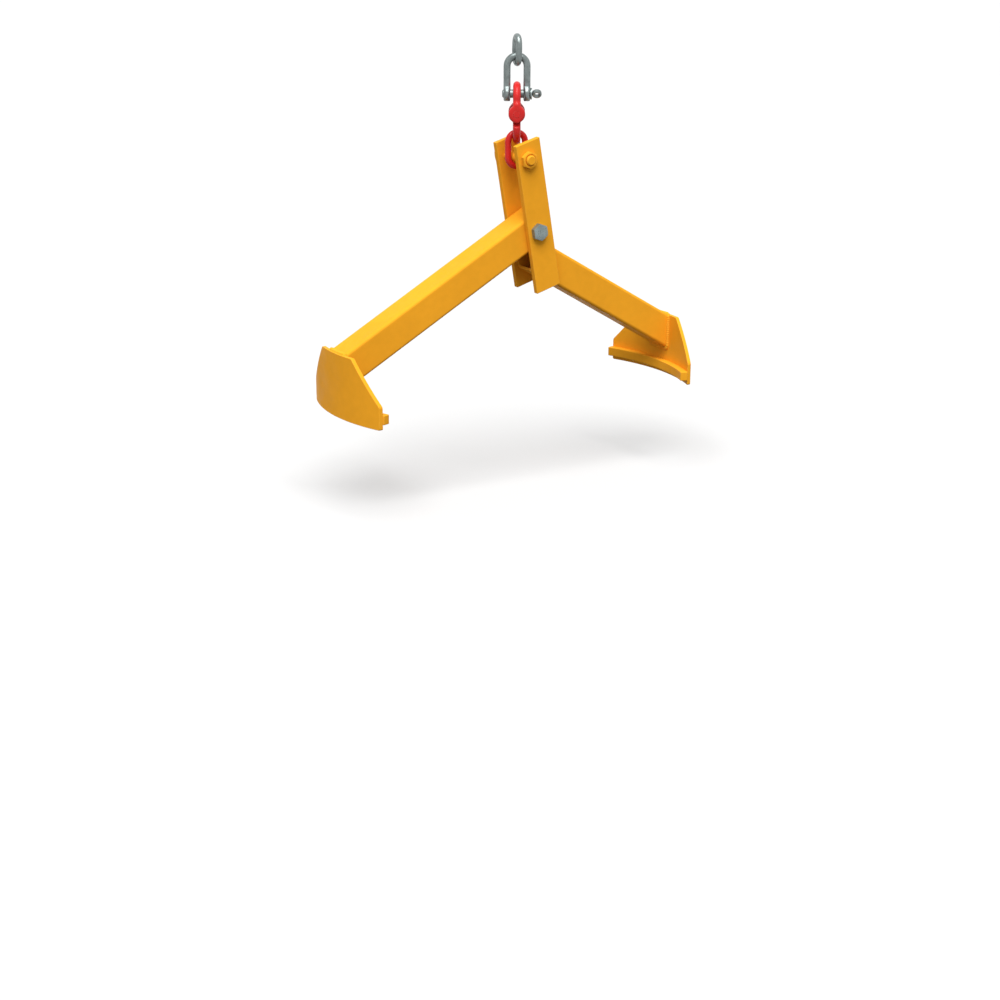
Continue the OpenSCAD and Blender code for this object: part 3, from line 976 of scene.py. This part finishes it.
bow_bar, bow_gap, bow_inside = 11 * mm, 20 * mm, 45.5 * mm
screw_pin_d, ear_d = 13 * mm, 23 * mm
ear_inner_fullness, ear_outer_fullness = 3.0, 2.5
bow_leg = (bow_gap + bow_bar) / 2
bow_arch_z = bow_inside + screw_pin_d / 2 - bow_gap / 2
bm = forged_bow(bow_bar, bow_gap, bow_arch_z, ear_d, bow_bar, bow_leg,
                ear_inner_fullness, ear_outer_fullness)
put(bm, shackle_place)
bow = new_object(bm, "shackle_bow_forged")
drill(bow, shackle_place @ across_pin, screw_pin_d + 2 * shaft_gap, 4 * (bow_gap + bow_bar))
stand_for(bow, "shackle_bow", "galvanised")

# %% Coupling halves
link_bar, link_gap, link_inside = 12 * mm, 30 * mm, 72 * mm
eye_d, eye_t, load_pin_d = 26 * mm, 8.5 * mm, 11 * mm
link_leg = (link_gap + link_bar) / 2
link_arch_z = (link_inside - link_gap) / 2
upside_down = Matrix.Rotation(pi, 4, "X")
eye_offset = run_gap / 2 + eye_t / 2
flat_face, domed_face = 5.0, 2.3
halves = (
    ("coupling_upper_half", Matrix(), link_leg + eye_offset, domed_face),
    ("coupling_lower_half", upside_down, link_leg - eye_offset, flat_face),
)
for node, flip, eye_x, outer_face in halves:
    bm = forged_bow(link_bar, link_gap, link_arch_z, eye_d, eye_t, eye_x, flat_face, outer_face)
    put(bm, hub_place @ flip)
    half = new_object(bm, node + "_forged")
    drill(half, hub_place @ across_pin, load_pin_d + 2 * shaft_gap, 6 * link_leg)
    stand_for(half, node, "red_paint")

# %% [markdown]
# ## Pins of the shackle and the coupling
# The shackle's screw pin is turned with a collar and ends in a flat eye that takes a bar for
# tightening. The load pin is plain, and the bush that locks it is a ring. All three are lathe
# work, and the flat eye is joined on with its neck.

# %% Pins
collar_d, collar_t = 18 * mm, 2.5 * mm
pin_eye_d, pin_eye_t, pin_eye_hole, pin_eye_round = 15 * mm, 7 * mm, 6 * mm, 1.6 * mm
pin_out, eye_roll = 2 * mm, radians(35)
bush_d = 18 * mm
ear_y = bow_gap / 2 + bow_bar
pin_edge = 0.6 * mm

bm = lathe([
    (0, -ear_y - pin_out), (screw_pin_d / 2 - tip_chamfer, -ear_y - pin_out),
    (screw_pin_d / 2, -ear_y - pin_out + tip_chamfer), (screw_pin_d / 2, ear_y),
    (collar_d / 2 - pin_edge, ear_y), (collar_d / 2, ear_y + pin_edge),
    (collar_d / 2, ear_y + collar_t - pin_edge), (collar_d / 2 - pin_edge, ear_y + collar_t),
    (0, ear_y + collar_t),
])
pin_place = shackle_place @ across_pin
put(bm, pin_place)
screw_pin = new_object(bm, "shackle_pin_turned")

eye_middle = Matrix.Translation((0, ear_y + collar_t + pin_eye_d / 2, 0))
eye_place = pin_place @ Matrix.Rotation(eye_roll, 4, "Y") @ eye_middle
eye_place = eye_place @ Matrix.Rotation(pi / 2, 4, "Z")
bm = turned_ring(pin_eye_d, pin_eye_hole, -pin_eye_t / 2, pin_eye_t / 2, pin_eye_round)
put(bm, eye_place)
cut_or_fuse(screw_pin, bm, "UNION")
stand_for(screw_pin, "shackle_pin", "galvanised")

pin_end = link_leg + run_gap / 2 + eye_t
bm = lathe([
    (0, -pin_end), (load_pin_d / 2 - pin_edge, -pin_end), (load_pin_d / 2, -pin_end + pin_edge),
    (load_pin_d / 2, pin_end - pin_edge), (load_pin_d / 2 - pin_edge, pin_end), (0, pin_end),
])
put(bm, hub_place @ across_pin)
stand_for(new_object(bm, "coupling_load_pin_turned"), "coupling_load_pin", "red_paint")

bush_end = link_leg - run_gap / 2 - eye_t - run_gap
bm = turned_ring(bush_d, load_pin_d + 2 * shaft_gap, -bush_end, bush_end, pin_edge)
put(bm, hub_place @ across_pin)
stand_for(new_object(bm, "coupling_bush_ring"), "coupling_bush", "bare_steel")

# %% [markdown]
# ## Weld beads
# The arms, shoes, jaws and cheeks are joined by fillet welds that show as rippled ridges under
# the paint. Each bead is a row of rings along its seam, a little wider and narrower in turn,
# bridged into a soft rope that is half sunk in both plates.

# %% Weld beads
bead_sides = 10
ripple_pitch = 3.2 * mm
ripple_share = 0.10
ring_step = ripple_pitch / 4
fewest_steps = 4
bead_tip = 0.35
taper_length = 1.5
arc_steps = 24


def walk(path, closed):
    """Points at even steps along a path of a few points, each with its direction."""
    corners = path + path[:1] if closed else path
    stretches = [(a, b) for a, b in zip(corners, corners[1:]) if (b - a).length > same_spot]
    lengths = [(b - a).length for a, b in stretches]
    total = sum(lengths)
    steps = max(int(total / ring_step), fewest_steps)
    points, passed, index = [], 0.0, 0
    for number in range(steps if closed else steps + 1):
        wanted = total * number / steps
        while wanted > passed + lengths[index] and index < len(lengths) - 1:
            passed += lengths[index]
            index += 1
        start, end = stretches[index]
        direction = (end - start).normalized()
        points.append((start + direction * (wanted - passed), direction))
    return points


def lay_bead(bm, path, radius, closed=False):
    """A rippled rope of weld along a path, with thin ends unless it runs all round."""
    rings = []
    points = walk(path, closed)
    for number, (point, direction) in enumerate(points):
        width = radius * (1 + ripple_share * sin(2 * pi * number * ring_step / ripple_pitch))
        if not closed:
            to_end = min(number, len(points) - 1 - number) * ring_step
            width *= bead_tip + (1 - bead_tip) * ease(to_end / (taper_length * radius))
        place = Matrix.Translation(point) @ direction.to_track_quat("Z", "Y").to_matrix().to_4x4()
        rings.append(round_ring(bm, 2 * width, place, bead_sides))
    followers = rings[1:] + rings[:1] if closed else rings[1:]
    for ring, follower in zip(rings, followers):
        bmesh.ops.bridge_loops(bm, edges=ring + follower)
    if not closed:
        for ring in (rings[0], rings[-1]):
            bmesh.ops.edgeloop_fill(bm, edges=ring)


def arc(radius, z, start, end, turn):
    """Points of a level arc about the axis of the curve that the shoes follow."""
    angles = [turn + start + (end - start) * number / arc_steps for number in range(arc_steps + 1)]
    return [Vector((axis_x + radius * cos(angle), radius * sin(angle), z)) for angle in angles]


arm_bead, jaw_bead = 3.4 * mm, 2.0 * mm
stitches = (-0.24, 0.0, 0.24)
stitch_half = 0.06


def shoe_beads(bm, seam, jaw, turn):
    """The ring of weld round an arm's end, and the stitches under a jaw bar."""
    lay_bead(bm, seam, arm_bead, closed=True)
    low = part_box(jaw)[0]
    for middle in stitches:
        lay_bead(bm, arc(shoe_r, low.z, middle - stitch_half, middle + stitch_half, turn), jaw_bead)


def cheek_beads(bm):
    """The upright weld between the fixed arm and the edge of each cheek."""
    edge_x = cheek_width - hole_inset
    slope = fixed_slope + lean
    top = -edge_x * tan(slope) - fixed_arm_drop / cos(slope)
    bottom = edge_x * cheek_slope - cheek_under
    for y in (-tube_w / 2, tube_w / 2):
        ends = [head_place @ Vector((edge_x, y, z)) for z in (top - arm_bead, bottom)]
        lay_bead(bm, ends, arm_bead)


bm = bmesh.new()
shoe_beads(bm, fixed_seam, "fixed_jaw", 0)
cheek_beads(bm)
dress(new_object(bm, "head_welds"), "head", "yellow_paint")
bm = bmesh.new()
shoe_beads(bm, swing_seam, "swing_jaw", pi)
dress(new_object(bm, "swing_arm_welds"), "swing_arm", "yellow_paint")

# %% [markdown]
# ## Finished pieces
# The looks must not change the object's size. The last call prints how many pieces were dressed.

# %% Finished pieces
print("pieces:", len(made))
